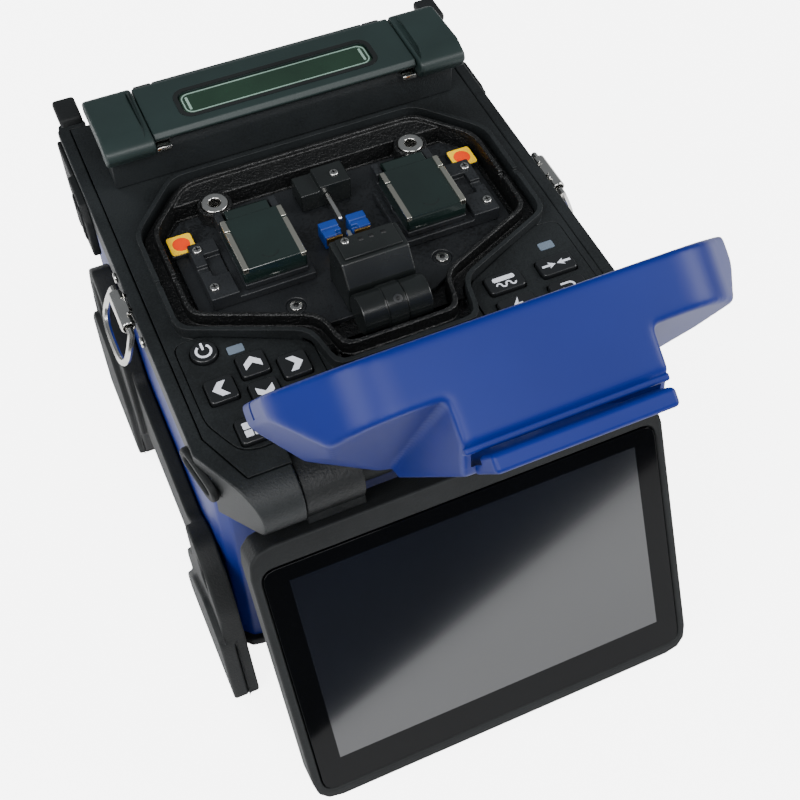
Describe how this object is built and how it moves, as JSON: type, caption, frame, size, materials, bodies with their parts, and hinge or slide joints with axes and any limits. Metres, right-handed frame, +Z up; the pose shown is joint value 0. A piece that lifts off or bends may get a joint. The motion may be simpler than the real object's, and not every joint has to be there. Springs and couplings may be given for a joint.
{
  "type": "fibre fusion splicer",
  "caption": "Bench fibre-splicing machine with an open blue wind cover, tilting front screen, two fibre clamps, keypads and a rear heater.",
  "frame": {"origin": "on the bench under the middle of the splicing chamber, at the centre of the base pad's flat underside", "axes": "+X to the operator's right, +Y from the screen towards the heater at the back, +Z up; the fibre lies along X at Y = 0"},
  "size_m": [0.1518, 0.2175, 0.197],
  "materials": {
    "blue_shell": "glossy moulded blue",
    "deck_black": "fine-textured satin black",
    "black_rubber": "matt black elastomer",
    "smooth_black": "smooth satin black",
    "key_black": "satin black keys",
    "machined_black": "black anodised",
    "steel": "polished steel",
    "blue_ceramic": "blue V-groove block",
    "ceramic": "light grey ceramic",
    "lid_green": "satin green-black",
    "window_green": "clear dark green",
    "screen_glass": "glossy black display glass",
    "circuit_green": "solder mask"
  },
  "bodies": {
    "machine": {"lower_shell": "blue_shell", "base_plate": "black_rubber", "side_bumper_right": "black_rubber", "side_bumper_left": "black_rubber", "side_rail_right": "deck_black", "side_rail_left": "deck_black", "top_deck": "deck_black", "keypad_right": "deck_black", "keypad_left": "deck_black", "chamber_tray": "deck_black", "stage_base": "machined_black", "ring_bushing_right": "steel", "ring_bushing_left": "steel", "v_groove_right": "blue_ceramic", "v_groove_left": "blue_ceramic", "electrode_rear": "steel", "electrode_front": "steel", "electrode_cap": "smooth_black", "lens_tower": "smooth_black", "lamp_barrel": "smooth_black", "heater_base": "deck_black", "heater_trough": "steel", "heater_pin": "steel", "wind_cover_pin": "steel", "screen_pin": "steel", "hinge_sleeve": "black_rubber", "strap_sleeve_right": "steel", "strap_sleeve_left": "steel", "main_board": "circuit_green", "camera_module": "machined_black", "port_panel": "deck_black"},
    "stage_left": {"fibre_stage_left": "machined_black", "holder_base_left": "machined_black"},
    "stage_right": {"fibre_stage_right": "machined_black", "holder_base_right": "machined_black"},
    "clamp_left": {"holder_lid_left": "smooth_black"},
    "clamp_right": {"holder_lid_right": "smooth_black"},
    "heater_door": {"heater_lid": "lid_green", "heater_window": "window_green", "heater_wing_left": "lid_green", "heater_wing_right": "lid_green"},
    "cover": {"wind_cover": "blue_shell", "fibre_clamp": "ceramic"},
    "screen": {"screen_housing": "black_rubber", "screen_glass": "screen_glass", "screen_knuckle_left": "black_rubber", "screen_knuckle_right": "black_rubber"},
    "ring_left": {"strap_ring_left": "steel"},
    "ring_right": {"strap_ring_right": "steel"},
    "battery_pack": {"battery": "smooth_black"},
    "key_power_cap": {"key_power": "key_black"},
    "key_up_cap": {"key_up": "key_black"},
    "key_right_cap": {"key_right": "key_black"},
    "key_left_cap": {"key_left": "key_black"},
    "key_down_cap": {"key_down": "key_black"},
    "key_menu_cap": {"key_menu": "key_black"},
    "key_splice_cap": {"key_splice": "key_black"},
    "key_heat_cap": {"key_heat": "key_black"},
    "key_reset_cap": {"key_reset": "key_black"},
    "key_arc_cap": {"key_arc": "key_black"}
  },
  "joints": [
    {"name": "stage_left_feed", "type": "slide", "parent": "machine", "child": "stage_left", "axis": [1, 0, 0], "range_m": [-0.001, 0.002]},
    {"name": "stage_right_feed", "type": "slide", "parent": "machine", "child": "stage_right", "axis": [-1, 0, 0], "range_m": [-0.001, 0.002]},
    {"name": "clamp_left_hinge", "type": "hinge", "parent": "stage_left", "child": "clamp_left", "pos_m": [-0.02555, 0.0152, 0.1203], "axis": [-1, 0, 0], "range_deg": [0, 95]},
    {"name": "clamp_right_hinge", "type": "hinge", "parent": "stage_right", "child": "clamp_right", "pos_m": [0.02555, 0.0152, 0.1203], "axis": [-1, 0, 0], "range_deg": [0, 95]},
    {"name": "heater_lid_hinge", "type": "hinge", "parent": "machine", "child": "heater_door", "pos_m": [0, 0.0703, 0.1277], "axis": [-1, 0, 0], "range_deg": [0, 95]},
    {"name": "wind_cover_hinge", "type": "hinge", "parent": "machine", "child": "cover", "pos_m": [0, -0.055, 0.118], "axis": [1, 0, 0], "range_deg": [-125, 0]},
    {"name": "screen_tilt", "type": "hinge", "parent": "machine", "child": "screen", "pos_m": [0, -0.0705, 0.103], "axis": [-1, 0, 0], "range_deg": [-28, 54]},
    {"name": "strap_ring_left_swing", "type": "hinge", "parent": "machine", "child": "ring_left", "pos_m": [-0.0701, 0.0005, 0.111], "axis": [0, 1, 0], "range_deg": [0, 75]},
    {"name": "strap_ring_right_swing", "type": "hinge", "parent": "machine", "child": "ring_right", "pos_m": [0.0701, 0.0005, 0.111], "axis": [0, -1, 0], "range_deg": [0, 75]},
    {"name": "battery_slide", "type": "slide", "parent": "machine", "child": "battery_pack", "axis": [0, 1, 0], "range_m": [0, 0.075]},
    {"name": "key_power_press", "type": "slide", "parent": "machine", "child": "key_power_cap", "axis": [0, 0, -1], "range_m": [0, 0.001], "stiffness_N_per_m": 200},
    {"name": "key_up_press", "type": "slide", "parent": "machine", "child": "key_up_cap", "axis": [0, 0, -1], "range_m": [0, 0.001], "stiffness_N_per_m": 200},
    {"name": "key_right_press", "type": "slide", "parent": "machine", "child": "key_right_cap", "axis": [0, 0, -1], "range_m": [0, 0.001], "stiffness_N_per_m": 200},
    {"name": "key_left_press", "type": "slide", "parent": "machine", "child": "key_left_cap", "axis": [0, 0, -1], "range_m": [0, 0.001], "stiffness_N_per_m": 200},
    {"name": "key_down_press", "type": "slide", "parent": "machine", "child": "key_down_cap", "axis": [0, 0, -1], "range_m": [0, 0.001], "stiffness_N_per_m": 200},
    {"name": "key_menu_press", "type": "slide", "parent": "machine", "child": "key_menu_cap", "axis": [0, 0, -1], "range_m": [0, 0.001], "stiffness_N_per_m": 200},
    {"name": "key_splice_press", "type": "slide", "parent": "machine", "child": "key_splice_cap", "axis": [0, 0, -1], "range_m": [0, 0.001], "stiffness_N_per_m": 200},
    {"name": "key_heat_press", "type": "slide", "parent": "machine", "child": "key_heat_cap", "axis": [0, 0, -1], "range_m": [0, 0.001], "stiffness_N_per_m": 200},
    {"name": "key_reset_press", "type": "slide", "parent": "machine", "child": "key_reset_cap", "axis": [0, 0, -1], "range_m": [0, 0.001], "stiffness_N_per_m": 200},
    {"name": "key_arc_press", "type": "slide", "parent": "machine", "child": "key_arc_cap", "axis": [0, 0, -1], "range_m": [0, 0.001], "stiffness_N_per_m": 200}
  ]
}
